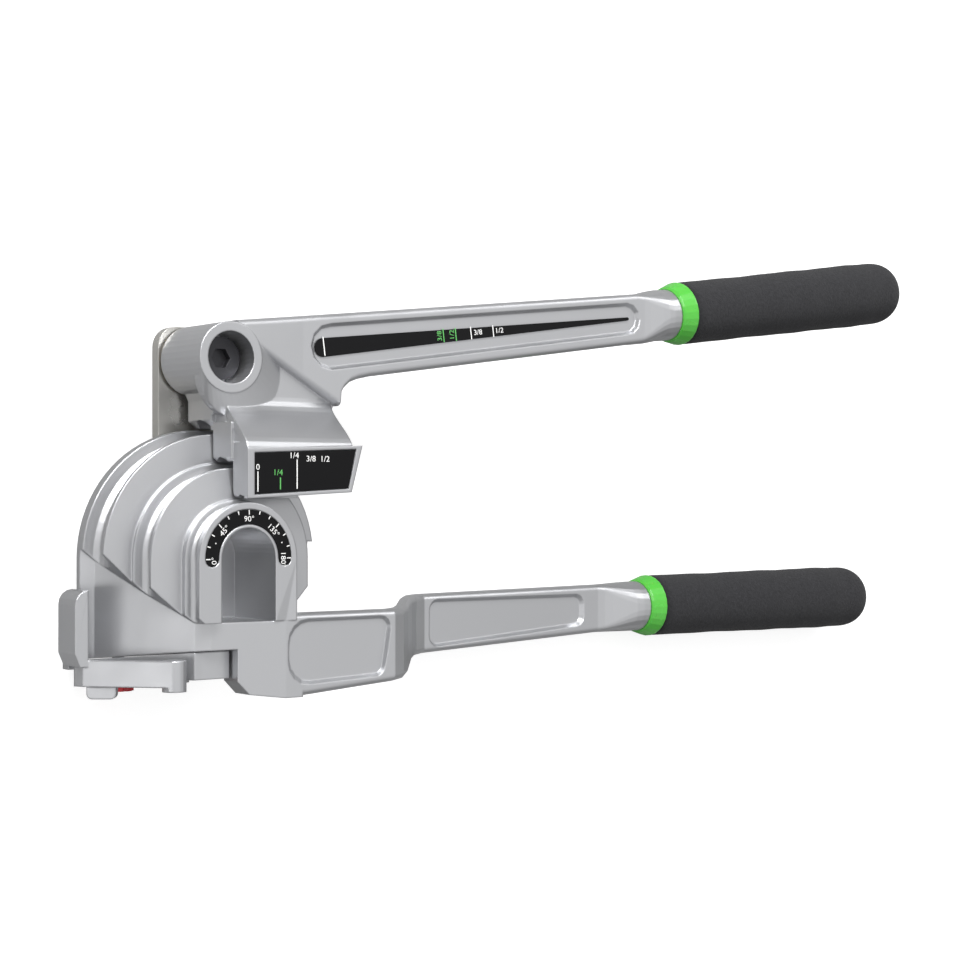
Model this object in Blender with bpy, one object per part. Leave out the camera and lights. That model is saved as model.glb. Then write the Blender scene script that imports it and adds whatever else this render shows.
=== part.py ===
"""A lever tube bender for three tube sizes, lying on its back.

X runs along the handles, Y from the die's centre to the lever's pivot, Z up out of the scale face.
Metres. The origin is the centre of the die pivot's head, which rests on the bench.
A depth is measured down from the scale face, so it grows towards the bench.
"""
import math

import bmesh
import bpy
from mathutils import Matrix, Vector

# Fits and small sizes that several pieces share
SEAT = 0.0003
RUN = 0.0003
OVERRUN = 0.006

# Tubes: radius, and the radius that each is bent to
GROOVE_CLEARANCE = 0.0001
SMALL_TUBE = 0.003175
MIDDLE_TUBE = 0.0047625
LARGE_TUBE = 0.00635
SMALL_BEND = 0.0235
MIDDLE_BEND = 0.038
LARGE_BEND = 0.0526

# Die: how far its lips stand out behind each groove, and their thickness from front to back
SMALL_LIP_RISE = 0.0012
MIDDLE_LIP_RISE = 0.0020
LARGE_LIP_RISE = 0.0021
FRONT_LIP = 0.0031
SMALL_LIP = 0.0031
MIDDLE_FACE_DRAFT = 0.0018
MIDDLE_FRONT_LIP = 0.0018
MIDDLE_LIP = 0.0016
LARGE_FACE_DRAFT = 0.0010
LARGE_FRONT_LIP = 0.0020
LARGE_LIP = 0.0057
HOLLOW_HALF_WIDTH = 0.013
HOLLOW_WALL = 0.0025
LEG_END = -0.0265
GROOVE_STEPS = 8
DIE_STEPS = 40

# Depths of the grooves' middles and of the steps between them, from the scale face back
SMALL_DEPTH = FRONT_LIP + SMALL_TUBE
SMALL_STEP_DEPTH = SMALL_DEPTH + SMALL_TUBE + SMALL_LIP
MIDDLE_FACE_DEPTH = SMALL_STEP_DEPTH + MIDDLE_FACE_DRAFT
MIDDLE_DEPTH = MIDDLE_FACE_DEPTH + MIDDLE_FRONT_LIP + MIDDLE_TUBE
MIDDLE_STEP_DEPTH = MIDDLE_DEPTH + MIDDLE_TUBE + MIDDLE_LIP
LARGE_FACE_DEPTH = MIDDLE_STEP_DEPTH + LARGE_FACE_DRAFT
LARGE_DEPTH = LARGE_FACE_DEPTH + LARGE_FRONT_LIP + LARGE_TUBE
DIE_DEPTH = LARGE_DEPTH + LARGE_TUBE + LARGE_LIP
SMALL_BACK_LIP = SMALL_BEND + SMALL_LIP_RISE
MIDDLE_BACK_LIP = MIDDLE_BEND + MIDDLE_LIP_RISE
LARGE_BACK_LIP = LARGE_BEND + LARGE_LIP_RISE

# Base under the die: the slanted cut, the wall that sweeps past the tubes, and the slanted underside
BASE_BOTTOM_AT_FACE = -0.0375
BASE_BOTTOM_SLOPE = 0.1
CUT_LEFT_Y = -0.0009
CUT_KNEE_Y = -0.0153
WALL_ANGLE = math.radians(40)
WALL_CLEARANCE = 0.0004
WALL_TURN_X = -0.0155
WALL_TURN_DEPTH = 0.0046
RIGHT_RADIUS = 0.0494
RIGHT_ARC_START = 62
RIGHT_ARC_END = 7
RIGHT_STEP_X = 0.0466
RIGHT_STEP_Y = 0.0065
RIGHT_KNEE_X = 0.0434
RIGHT_KNEE_Y = -0.0080
RIGHT_FOOT_X = 0.0385
RIGHT_FOOT_Y = -0.0125
LEG_SIDE_X = 0.0243

# Lug and fixed handle
LUG_LEFT_X = -0.0035
LUG_FRONT_X = 0.0185
LUG_FRONT_DEPTH = 0.0008
LUG_SHOULDER_Y = -0.0515
LUG_FOOT_X = 0.0020
LUG_FOOT_Y = -0.0572
LUG_BOTTOM_Y = -0.0594
LUG_RIGHT_X = 0.027
WEB_THICKNESS = 0.011
ROOT_TOP_Y = -0.0238
ROOT_END_X = 0.075
ROOT_END_BOTTOM_Y = -0.0555
JOGGLE_END_X = 0.114
JOGGLE_END_TOP_Y = -0.0197
JOGGLE_END_BOTTOM_Y = -0.0472
JOGGLE_END_DEPTH = 0.0325
FIXED_WEB_X = 0.226
FIXED_WEB_TOP_Y = -0.0186
FIXED_WEB_BOTTOM_Y = -0.0424
FIXED_COLLAR_X = 0.2560
FIXED_AXIS_Y = -0.0302
COLLAR_RADIUS = 0.0127
SHANK_RADIUS = 0.0105
EDGE_RADIUS = 0.0030
BLEND_STEPS = 6
RECESS_DEPTH = 0.0022
RECESS_FLARE = 0.0016
ROOT_RECESS_LEFT_X = 0.0212
ROOT_RECESS_RIGHT_X = 0.0725
ROOT_RECESS_BOTTOM_Y = -0.0532
ROOT_RECESS_CORNER = 0.010
FIXED_RECESS_LEFT_X = 0.1185
FIXED_RECESS_RIGHT_X = 0.2150
FIXED_RECESS_BOTTOM_RIM = 0.0055
RECESS_RIM = 0.0038

# Grips and collars, the same on both handles
RING_LENGTH = 0.009
RING_SMALL_RADIUS = 0.0138
RING_LARGE_RADIUS = 0.0157
GRIP_LENGTH = 0.158
GRIP_NEAR_RADIUS = 0.0156
GRIP_RADIUS = 0.01675
GRIP_DOME = 0.012
GRIP_DOME_SHARE = 0.55
GRIP_END_WALL = 0.009
ROUND_STEPS = 28

# Lever's pivot and its casting
PIVOT_Y = 0.085
BOSS_RADIUS = 0.0152
BOSS_FACE_DEPTH = 0.0145
COUNTERBORE_RADIUS = 0.0112
COUNTERBORE_DEPTH = 0.0170
ARM_START_X = 0.036
ARM_START_TOP_Y = 0.1047
ARM_START_BOTTOM_Y = 0.0746
ARM_START_DEPTH = 0.0148
ARM_THICKNESS = 0.0155
ARM_CORNER_X = 0.0700
ARM_END_X = 0.220
ARM_END_TOP_Y = 0.1252
ARM_END_BOTTOM_Y = 0.1008
LEVER_GRIP_DEPTH = 0.008
LEVER_COLLAR_X = 0.2445
LEVER_COLLAR_Y = 0.1168
LEVER_SLOPE = math.radians(7.7)
ARM_RECESS_LEFT_X = 0.0502
ARM_RECESS_RIGHT_X = 0.213
ARM_RECESS_LEFT_HALF = 0.0088
ARM_RECESS_RIGHT_HALF = 0.0062
ARM_LINE_LEFT_Y = 0.0918
ARM_LINE_RIGHT_Y = 0.1125

# Neck below the arm
NECK_DEPTH = 0.0190
NECK_THICKNESS = 0.0120
BOSS_SIDE_SHARE = 0.8
BOSS_EDGE_SHARE = 0.97
# The lower edge of the web between the boss and the arm: its ridge, then the corner under the arm
WEB_EDGE = (
    (0.0040, 0.0957),
    (0.0208, 0.0858),
    (0.0360, 0.0769),
    (0.0547, 0.0659),
    (0.0550, 0.0706),
    (0.0566, 0.0734),
    (0.0600, 0.0765),
    (0.0640, 0.0781),
)
SKIRT_RADIUS = 0.0200
SKIRT_SHIFT_X = 0.0068
SKIRT_SHIFT_Y = 0.0062
CHEEK_THICKNESS = 0.0030
NECK_RIGHT_X = 0.0624
NECK_RIGHT_Y = 0.0767
NECK_WAIST_X = 0.0545
NECK_WAIST_Y = 0.0672
NECK_FOOT_X = 0.0524
NECK_FOOT_Y = 0.0545
SHOE_SHOULDER_X = -0.0100
SHOE_SHOULDER_Y = 0.0748
SHOE_ARMPIT_X = -0.0052
SHOE_ARMPIT_Y = 0.0719
SHOE_WAIST_Y = 0.0672
FOLD_TOP_Y = 0.0690
FOLD_THICKNESS = 0.0048
FOLD_STEPS = 12

# Scale plate at the front of the shoe
PLATE_LEFT_X = 0.0012
PLATE_LEFT_TOP_Y = 0.0460
PLATE_LEFT_BOTTOM_Y = 0.0252
PLATE_RIGHT_BOTTOM_X = 0.0514
PLATE_RIGHT_BOTTOM_Y = 0.0278
PLATE_RIGHT_TOP_X = 0.057
PLATE_RIGHT_TOP_Y = 0.0482
PLATE_THICKNESS = 0.0030
PLATE_RIM = 0.0018

# Shoe: its three steps, each a little off the lips of the die
SHOE_LIFT = 0.0006
LARGE_SHOE_LEFT_X = -0.0030
MIDDLE_SHOE_LEFT_X = -0.0018
SMALL_SHOE_LEFT_X = -0.0006
SHOE_RIGHT_X = 0.0245
SHOE_BACK_STEP = 0.0022
SHOE_SIDE_GAP = 0.0004
SHOE_CORNER = 0.0035
SHOE_CHAMFER_DEPTH = 0.0012
SHOE_CHAMFER_RISE = 0.0030

# Link, pivot bolts and what they pass through
THRUST_WASHER = 0.0010
LINK_THICKNESS = 0.0055
LINK_HALF_WIDTH = 0.0155
LINK_TOP_EXTRA = 0.0150
LINK_CORNER = 0.009
LINK_END_SHARE = 0.98
HEAD_HEIGHT = 0.0036
DIE_BOLT_HEAD_RADIUS = 0.0120
DIE_BOLT_SHOULDER = 0.0065
DIE_BOLT_THREAD = 0.0050
DIE_BOLT_REACH = 0.0125
LEVER_BOLT_HEAD_RADIUS = 0.0094
LEVER_BOLT_HEAD_HEIGHT = 0.0062
LEVER_BOLT_SOCKET_RADIUS = 0.0046
LEVER_BOLT_SOCKET_DEPTH = 0.0035
LEVER_BOLT_RADIUS = 0.0050
LEVER_NUT_RADIUS = 0.0096
WASHER_RADIUS = 0.0102
WASHER_THICKNESS = 0.0012
THRUST_WASHER_RADIUS = 0.0135
BUSH_WALL = 0.0018
BOLT_STEPS = 24

# Hook: the jaw, the gate arm in front of the tubes, the slide under the base
HOOK_TRAVEL = 0.008
LUG_GAP = 0.0008
HOOK_HEIGHT = 0.0118
HOOK_WEB_HEIGHT = 0.0034
JAW_CLEARANCE = 0.0003
JAW_OUTER_X = -0.0652
JAW_TOP_Y = -0.0125
JAW_SIDE_Y = -0.0385
JAW_BOTTOM_Y = -0.0440
JAW_FRONT_EXTRA = 0.0021
JAW_BACK_EXTRA = 0.0010
JAW_CORNER = 0.006
GATE_THICKNESS = 0.0042
GATE_TOP_Y = -0.0412
GATE_BOTTOM_Y = -0.0521
GATE_LEFT_X = -0.0610
GATE_LEFT_DEPTH = 0.0300
GATE_POST_RADIUS = 0.0050
GATE_POST_X = -0.0317
GATE_POST_BOTTOM_Y = -0.0540
FINGER_NEAR_SHARE = 0.36
FINGER_FAR_SHARE = 0.04
FINGER_BOTTOM_Y = -0.0572
FINGER_CORNER = 0.0022
SLIDE_RIGHT_X = LUG_LEFT_X - LUG_GAP
SLIDE_BAR_DEPTH = 0.0090
SLIDE_TAIL_X = 0.0140
SLIDE_TAIL_DEPTH = 0.0390
SCREW_RADIUS = 0.0025
SCREW_FROM_BACK = 0.0040
SCREW_REACH = 0.0090
KNOB_X = -0.0375
GUIDE_X = -0.0085
KNOB_RADIUS = 0.0065
KNOB_HEIGHT = 0.0044
KNOB_FLUTES = 8
KNOB_FLUTE_RADIUS = 0.0011
GUIDE_HEAD_RADIUS = 0.0044
GUIDE_HEAD_HEIGHT = 0.0026
SPRING_WASHER_RADIUS = 0.0046
SPRING_WASHER_THICKNESS = 0.0009

# Scale labels, let into shallow pockets
LABEL_THICKNESS = 0.0005
LABEL_POCKET = 0.0008
LABEL_SIDE_GAP = 0.0003
DIAL_INNER = 0.0145
DIAL_OUTER = 0.0205
DIAL_STEPS = 24
STRIP_MARGIN = 0.0046
STRIP_END_GAP = 0.0010
STRIP_TIP_MARGIN = 0.0010
STRIP_TIP_HALF = 0.0008
STRIP_STEPS = 8

# Levels that follow from the sizes above
HOLLOW_DEPTH = DIE_DEPTH - DIE_BOLT_REACH - HOLLOW_WALL
SHOE_BACK_DEPTH = DIE_DEPTH - SHOE_BACK_STEP
SLIDE_BACK_DEPTH = DIE_DEPTH
SCREW_DEPTH = SLIDE_BACK_DEPTH - SCREW_FROM_BACK
JAW_INNER_X = -(LARGE_BEND + LARGE_TUBE + JAW_CLEARANCE)
JAW_FRONT_DEPTH = LARGE_DEPTH - LARGE_TUBE - JAW_FRONT_EXTRA
JAW_BACK_DEPTH = LARGE_DEPTH + LARGE_TUBE + JAW_BACK_EXTRA
LINK_FRONT = DIE_DEPTH + THRUST_WASHER + 2 * SEAT
LINK_BACK = LINK_FRONT + LINK_THICKNESS
HEAD_FRONT = LINK_BACK + SEAT
FACE_HEIGHT = HEAD_FRONT + HEAD_HEIGHT
FIXED_GRIP_DEPTH = FACE_HEIGHT - GRIP_RADIUS
BOSS_BACK_DEPTH = DIE_DEPTH
SLIDE_TOP_AT_FACE = BASE_BOTTOM_AT_FACE - RUN
ARM_LEAN = math.atan2(
    ARM_START_DEPTH - (LEVER_GRIP_DEPTH - ARM_THICKNESS / 2), ARM_END_X - ARM_START_X
)


def up(depth):
    """The height above the bench of a depth below the scale face."""
    return FACE_HEIGHT - depth


def clear_scene():
    for obj in list(bpy.data.objects):
        bpy.data.objects.remove(obj, do_unlink=True)


def material(name, colour, roughness, metallic):
    """A Principled material for one sub-part."""
    made = bpy.data.materials.new(name)
    made.use_nodes = True
    shader = made.node_tree.nodes["Principled BSDF"]
    shader.inputs["Base Color"].default_value = (*colour, 1)
    shader.inputs["Roughness"].default_value = roughness
    shader.inputs["Metallic"].default_value = metallic
    return made


def add(name, bm, shading=40):
    """Turns a bmesh into an object with its faces out and its round sides smooth."""
    bmesh.ops.recalc_face_normals(bm, faces=bm.faces)
    mesh = bpy.data.meshes.new(name)
    bm.to_mesh(mesh)
    bm.free()
    mesh.shade_smooth()
    mesh.set_sharp_from_angle(angle=math.radians(shading))
    obj = bpy.data.objects.new(name, mesh)
    bpy.context.scene.collection.objects.link(obj)
    return obj


def prism(name, outline, low, high, along="Z"):
    """An outline extruded from low to high. Along Y the outline is (x, z), along X it is (y, z)."""
    place = {
        "X": lambda a, b, c: (c, a, b),
        "Y": lambda a, b, c: (a, c, b),
        "Z": lambda a, b, c: (a, b, c),
    }[along]
    bm = bmesh.new()
    first = [bm.verts.new(place(a, b, low)) for a, b in outline]
    last = [bm.verts.new(place(a, b, high)) for a, b in outline]
    bm.faces.new(first)
    bm.faces.new(last)
    count = len(outline)
    for i in range(count):
        j = (i + 1) % count
        bm.faces.new((first[i], first[j], last[j], last[i]))
    return add(name, bm)


def loft(name, rings):
    """A closed solid through rings of points, flat at both ends."""
    bm = bmesh.new()
    made = [[bm.verts.new(point) for point in ring] for ring in rings]
    bm.faces.new(made[0])
    bm.faces.new(made[-1])
    count = len(made[0])
    for near, far in zip(made, made[1:]):
        for i in range(count):
            j = (i + 1) % count
            bm.faces.new((near[i], near[j], far[j], far[i]))
    bmesh.ops.triangulate(bm, faces=[face for face in bm.faces if len(face.verts) == 4])
    return add(name, bm)


def arc(centre, radius, start, end, steps):
    """Points on an arc, angles in degrees, both ends included."""
    points = []
    for i in range(steps + 1):
        angle = math.radians(start + (end - start) * i / steps)
        points.append(
            (centre[0] + radius * math.cos(angle), centre[1] + radius * math.sin(angle))
        )
    return points


def circle(centre, radius, steps):
    return arc(centre, radius, 0, 360, steps)[:-1]


def rounded(points, radii, steps=4):
    """An outline whose corners are rounded by the radii, one for each point."""
    made = []
    count = len(points)
    for i, (point, radius) in enumerate(zip(points, radii)):
        here = Vector(point)
        if radius == 0:
            made.append(tuple(here))
            continue
        before = (Vector(points[i - 1]) - here).normalized()
        after = (Vector(points[(i + 1) % count]) - here).normalized()
        half = before.angle(after) / 2
        reach = radius / math.tan(half)
        centre = here + (before + after).normalized() * radius / math.sin(half)
        start = here + before * reach - centre
        sweep = start.angle_signed(here + after * reach - centre)
        for step in range(steps + 1):
            turned = Matrix.Rotation(-sweep * step / steps, 2) @ start
            made.append(tuple(centre + turned))
    return made


def tray(name, floor_outline, mouth_outline, floor, mouth):
    """A cutter for a recess whose walls slope out from its floor to a wider mouth."""
    return loft(
        name,
        [
            [(x, y, floor) for x, y in floor_outline],
            [(x, y, mouth) for x, y in mouth_outline],
        ],
    )


def disc(name, centre, radius, low, high, steps=BOLT_STEPS):
    return prism(name, circle(centre, radius, steps), low, high)


def turned(name, profile, steps=ROUND_STEPS):
    """A solid turned about X from (x, radius) points. Points on the axis close it."""
    bm = bmesh.new()
    rings = []
    for x, radius in profile:
        if radius == 0:
            rings.append([bm.verts.new((x, 0, 0))])
        else:
            rings.append([bm.verts.new((x, a, b)) for a, b in circle((0, 0), radius, steps)])
    closed = profile[0][1] != 0
    pairs = list(zip(rings, rings[1:] + rings[:1])) if closed else list(zip(rings, rings[1:]))
    for near, far in pairs:
        for i in range(steps):
            j = (i + 1) % steps
            corners = [near[i % len(near)], near[j % len(near)], far[j % len(far)], far[i % len(far)]]
            bm.faces.new(list(dict.fromkeys(corners)))
    return add(name, bm)


def boolean(target, tool, operation):
    tool.hide_render = True
    tool.display_type = "WIRE"
    step = target.modifiers.new(tool.name, "BOOLEAN")
    step.operation = operation
    step.solver = "EXACT"
    step.object = tool


def cut(target, *tools):
    for tool in tools:
        boolean(target, tool, "DIFFERENCE")


def join(target, *tools):
    for tool in tools:
        boolean(target, tool, "UNION")


def dress(obj, finish):
    obj.data.materials.append(finish)
    return obj


def groove(bend, depth, tube):
    """The die's half round groove, as (radius, depth) from front to back."""
    radius = tube + GROOVE_CLEARANCE
    points = []
    for i in range(GROOVE_STEPS + 1):
        angle = math.pi * i / GROOVE_STEPS
        points.append((bend - radius * math.sin(angle), depth - radius * math.cos(angle)))
    return points


def die_section():
    """The die's outer outline, from the scale face to its back."""
    return (
        [(SMALL_BEND, 0)]
        + groove(SMALL_BEND, SMALL_DEPTH, SMALL_TUBE)
        + [(SMALL_BACK_LIP, SMALL_DEPTH + SMALL_TUBE + 4 * GROOVE_CLEARANCE)]
        + [(SMALL_BACK_LIP, SMALL_STEP_DEPTH), (MIDDLE_BEND, MIDDLE_FACE_DEPTH)]
        + groove(MIDDLE_BEND, MIDDLE_DEPTH, MIDDLE_TUBE)
        + [(MIDDLE_BACK_LIP, MIDDLE_DEPTH + MIDDLE_TUBE + 4 * GROOVE_CLEARANCE)]
        + [(MIDDLE_BACK_LIP, MIDDLE_STEP_DEPTH), (LARGE_BEND, LARGE_FACE_DEPTH)]
        + groove(LARGE_BEND, LARGE_DEPTH, LARGE_TUBE)
        + [(LARGE_BACK_LIP, LARGE_DEPTH + LARGE_TUBE + 4 * GROOVE_CLEARANCE)]
        + [(LARGE_BACK_LIP, DIE_DEPTH)]
    )


def die_block(foot):
    """The section carried up the left side, round the half circle and down the right side to foot."""
    section = die_section()
    stations = [(180, foot)]
    stations += [(180 - 180 * i / DIE_STEPS, 0) for i in range(DIE_STEPS + 1)]
    stations += [(0, foot)]
    bm = bmesh.new()
    grid = []
    for degrees, drop in stations:
        angle = math.radians(degrees)
        grid.append(
            [
                bm.verts.new((r * math.cos(angle), r * math.sin(angle) + drop, up(d)))
                for r, d in section
            ]
        )
    for near, far in zip(grid, grid[1:]):
        for i in range(len(section) - 1):
            bm.faces.new((near[i], near[i + 1], far[i + 1], far[i]))
    bm.faces.new([row[0] for row in grid])
    bm.faces.new([row[-1] for row in grid])
    bm.faces.new(grid[0] + grid[-1][::-1])
    return add("die_casting", bm)


def wall_point(bend, depth, tube):
    """Where the base's swept wall passes a tube, just clear of it, as (x, depth)."""
    reach = tube + WALL_CLEARANCE
    return (-bend + reach * math.cos(WALL_ANGLE), depth + reach * math.sin(WALL_ANGLE))


def sweep_line():
    """The base's front wall, from the left side past the three tubes to the lug, as (x, depth)."""
    large = wall_point(LARGE_BEND, LARGE_DEPTH, LARGE_TUBE)
    flange = LARGE_DEPTH + LARGE_TUBE + LARGE_LIP / 2
    return [
        (-LARGE_BACK_LIP - OVERRUN, flange),
        (-LARGE_BACK_LIP, flange),
        (large[0] - LARGE_LIP / 3, large[1] + LARGE_LIP / 3),
        wall_point(MIDDLE_BEND, MIDDLE_DEPTH, MIDDLE_TUBE),
        wall_point(SMALL_BEND, SMALL_DEPTH, SMALL_TUBE),
        (WALL_TURN_X, WALL_TURN_DEPTH),
    ]


def sloped_prism(name, plan, low, top, near, far):
    """A plan of (x, depth) points carried in Y from low up to the height that top gives at each x.

    Its upper face bends along the line between the two points of the plan numbered near and far.
    """
    bm = bmesh.new()
    lower = [bm.verts.new((x, low, up(depth))) for x, depth in plan]
    upper = [bm.verts.new((x, top(x), up(depth))) for x, depth in plan]
    bm.faces.new(lower)
    bm.faces.new(upper[near:far + 1])
    bm.faces.new(upper[far:] + upper[:near + 1])
    count = len(plan)
    for i in range(count):
        j = (i + 1) % count
        bm.faces.new((lower[i], lower[j], upper[j], upper[i]))
    return add(name, bm)


def base_cutters(foot):
    """What is cut away in front of the base: the space that the three tubes pass through."""
    low = foot - OVERRUN
    left = -LARGE_BACK_LIP - OVERRUN
    sweep = sweep_line()
    corner, knee = sweep[-2], sweep[-3]
    steep = (CUT_LEFT_Y - CUT_KNEE_Y) / (sweep[2][0] - knee[0])
    gentle = (LEG_END - CUT_KNEE_Y) / (corner[0] - knee[0])
    wall = sweep[:-1]
    swept = sloped_prism(
        "swept_cut",
        wall + [(corner[0], -OVERRUN), (knee[0], -OVERRUN), (left, -OVERRUN)],
        low,
        lambda x: CUT_KNEE_Y + (steep if x < knee[0] else gentle) * (x - knee[0]),
        len(wall) - 2,
        len(wall) + 1,
    )
    front = prism(
        "base_front",
        [
            (corner[0] - SEAT, up(-OVERRUN)),
            (corner[0] - SEAT, up(corner[1] + SEAT)),
            (WALL_TURN_X, up(WALL_TURN_DEPTH)),
            (LUG_FRONT_X, up(LUG_FRONT_DEPTH)),
            (LUG_RIGHT_X + OVERRUN, up(LUG_FRONT_DEPTH)),
            (LUG_RIGHT_X + OVERRUN, up(-OVERRUN)),
        ],
        LUG_BOTTOM_Y - OVERRUN,
        LEG_END,
        "Y",
    )
    slope = BASE_BOTTOM_SLOPE
    underside = prism(
        "underside",
        [
            (BASE_BOTTOM_AT_FACE + slope * OVERRUN, up(-OVERRUN)),
            (BASE_BOTTOM_AT_FACE - slope * (DIE_DEPTH + OVERRUN), up(DIE_DEPTH + OVERRUN)),
            (low, up(DIE_DEPTH + OVERRUN)),
            (low, up(-OVERRUN)),
        ],
        left,
        LEG_SIDE_X + OVERRUN,
        "X",
    )
    far = LARGE_BACK_LIP + OVERRUN
    right_side = prism(
        "right_side",
        arc((0, 0), RIGHT_RADIUS, RIGHT_ARC_START, RIGHT_ARC_END, DIE_STEPS // 4)
        + [
            (RIGHT_STEP_X, RIGHT_STEP_Y),
            (RIGHT_KNEE_X, RIGHT_KNEE_Y),
            (RIGHT_FOOT_X, RIGHT_FOOT_Y),
            (LEG_SIDE_X, LEG_END),
            (LEG_SIDE_X, low),
            (far, low),
            (far, far),
            (far / 2, far),
        ],
        up(DIE_DEPTH + OVERRUN),
        up(-OVERRUN),
    )
    return front, swept, underside, right_side


def squared_ring(x, top, bottom, front, back, corner):
    """A ring across X with four round corners. It is a circle where the corner is half its height."""
    corner = min(corner, (top - bottom) / 2, (back - front) / 2)
    ring = []
    for i in range(ROUND_STEPS):
        angle = 2 * math.pi * (i + 0.5) / ROUND_STEPS
        c, s = math.cos(angle), math.sin(angle)
        y = top - corner if c > 0 else bottom + corner
        z = up(front) - corner if s > 0 else up(back) + corner
        ring.append((x, y + corner * c, z + corner * s))
    return ring


def round_ring(x, y, depth, radius):
    return squared_ring(x, y + radius, y - radius, depth - radius, depth + radius, radius)


def eased(share):
    return share * share * (3 - 2 * share)


def blended(near, far, steps=BLEND_STEPS):
    """Rings between two rings, which leave the first and meet the second smoothly."""
    rings = []
    for i in range(1, steps):
        share = i / steps
        ring = []
        for a, b in zip(near, far):
            a, b = Vector(a), Vector(b)
            point = a.lerp(b, eased(share))
            point.x = a.x + (b.x - a.x) * share
            ring.append(tuple(point))
        rings.append(ring)
    return rings


def fixed_handle():
    """The arm from the lug, back over the joggle, and on to the round shank in the grip."""
    joggle = []
    for i in range(1, BLEND_STEPS + 1):
        share = i / BLEND_STEPS
        front = LUG_FRONT_DEPTH + (JOGGLE_END_DEPTH - LUG_FRONT_DEPTH) * eased(share)
        joggle.append(
            squared_ring(
                ROOT_END_X + (JOGGLE_END_X - ROOT_END_X) * share,
                ROOT_TOP_Y + (JOGGLE_END_TOP_Y - ROOT_TOP_Y) * eased(share),
                ROOT_END_BOTTOM_Y + (JOGGLE_END_BOTTOM_Y - ROOT_END_BOTTOM_Y) * eased(share),
                front,
                front + WEB_THICKNESS,
                EDGE_RADIUS,
            )
        )
    root_back = LUG_FRONT_DEPTH + WEB_THICKNESS
    web_front = FIXED_GRIP_DEPTH - WEB_THICKNESS / 2
    grip_start = FIXED_COLLAR_X + RING_LENGTH
    web_end = squared_ring(
        FIXED_WEB_X, FIXED_WEB_TOP_Y, FIXED_WEB_BOTTOM_Y,
        web_front, web_front + WEB_THICKNESS, EDGE_RADIUS,
    )
    neck_end = round_ring(
        FIXED_COLLAR_X - RING_LENGTH / 2, FIXED_AXIS_Y, FIXED_GRIP_DEPTH, COLLAR_RADIUS
    )
    rings = [
        squared_ring(
            (LUG_FRONT_X + LUG_RIGHT_X) / 2, ROOT_TOP_Y, LUG_BOTTOM_Y,
            LUG_FRONT_DEPTH, root_back, EDGE_RADIUS,
        ),
        squared_ring(
            ROOT_END_X, ROOT_TOP_Y, ROOT_END_BOTTOM_Y, LUG_FRONT_DEPTH, root_back, EDGE_RADIUS
        ),
        *joggle,
        web_end,
        *blended(web_end, neck_end),
        neck_end,
        round_ring(FIXED_COLLAR_X, FIXED_AXIS_Y, FIXED_GRIP_DEPTH, COLLAR_RADIUS),
        round_ring(FIXED_COLLAR_X, FIXED_AXIS_Y, FIXED_GRIP_DEPTH, SHANK_RADIUS),
        round_ring(
            grip_start + GRIP_LENGTH - GRIP_END_WALL - GRIP_DOME,
            FIXED_AXIS_Y, FIXED_GRIP_DEPTH, SHANK_RADIUS,
        ),
    ]
    return loft("fixed_handle", rings)


def lug():
    """The lug that the fixed handle grows out of, below the right leg."""
    top = LEG_END - OVERRUN / 2
    outline = [
        (LUG_LEFT_X, top),
        (LUG_LEFT_X, LUG_SHOULDER_Y),
        (LUG_FOOT_X, LUG_FOOT_Y),
        (LUG_FRONT_X, LUG_BOTTOM_Y),
        (LUG_RIGHT_X, LUG_BOTTOM_Y),
        (LUG_RIGHT_X, top),
    ]
    back = LUG_FRONT_DEPTH + WEB_THICKNESS + OVERRUN / 2
    return prism("lug", outline, up(back), up(0))


def slot_outline(left, right, left_half, right_half, left_y, right_y, steps=6):
    """A long slot with round ends whose half height changes from left to right."""
    points = arc((left, left_y), left_half, 90, 270, steps)
    points += arc((right, right_y), right_half, -90, 90, steps)
    return points


def root_outline(extra=0):
    """The recess in the handle's root, large and round at its left end."""
    top = ROOT_TOP_Y - RECESS_RIM + extra
    lean = (ROOT_END_BOTTOM_Y - LUG_BOTTOM_Y) / 2
    left, right = ROOT_RECESS_LEFT_X - extra, ROOT_RECESS_RIGHT_X + extra
    low = ROOT_RECESS_BOTTOM_Y - extra
    end = RECESS_RIM + extra
    return rounded(
        [(left, low), (right - end, low + lean), (right, top), (left, top)],
        [ROOT_RECESS_CORNER, end, end, ROOT_RECESS_CORNER],
    )


def web_outline(extra=0):
    """The long recess in the handle's web, measured along the web from the joggle's end."""
    left = FIXED_RECESS_LEFT_X - JOGGLE_END_X - extra
    right = FIXED_RECESS_RIGHT_X - JOGGLE_END_X + extra
    end = RECESS_RIM + extra
    return rounded(
        [
            (left, JOGGLE_END_BOTTOM_Y + RECESS_RIM - extra),
            (right, FIXED_WEB_BOTTOM_Y + FIXED_RECESS_BOTTOM_RIM - extra),
            (right, FIXED_WEB_TOP_Y - FIXED_RECESS_BOTTOM_RIM + extra),
            (left, JOGGLE_END_TOP_Y - RECESS_RIM + extra),
        ],
        [end] * 4,
    )


def handle_recesses():
    """The two shallow recesses in the front of the fixed handle."""
    face = up(LUG_FRONT_DEPTH)
    root = tray(
        "root_recess", root_outline(), root_outline(2 * RECESS_FLARE),
        face - RECESS_DEPTH, face + RECESS_DEPTH,
    )
    depth_gain = FIXED_GRIP_DEPTH - WEB_THICKNESS / 2 - JOGGLE_END_DEPTH
    tilt = math.atan2(depth_gain, FIXED_WEB_X - JOGGLE_END_X)
    arm = tray(
        "arm_recess", web_outline(), web_outline(2 * RECESS_FLARE), -RECESS_DEPTH, RECESS_DEPTH
    )
    arm.location = (JOGGLE_END_X, 0, up(JOGGLE_END_DEPTH))
    arm.rotation_euler = (0, tilt, 0)
    return root, arm


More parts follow.
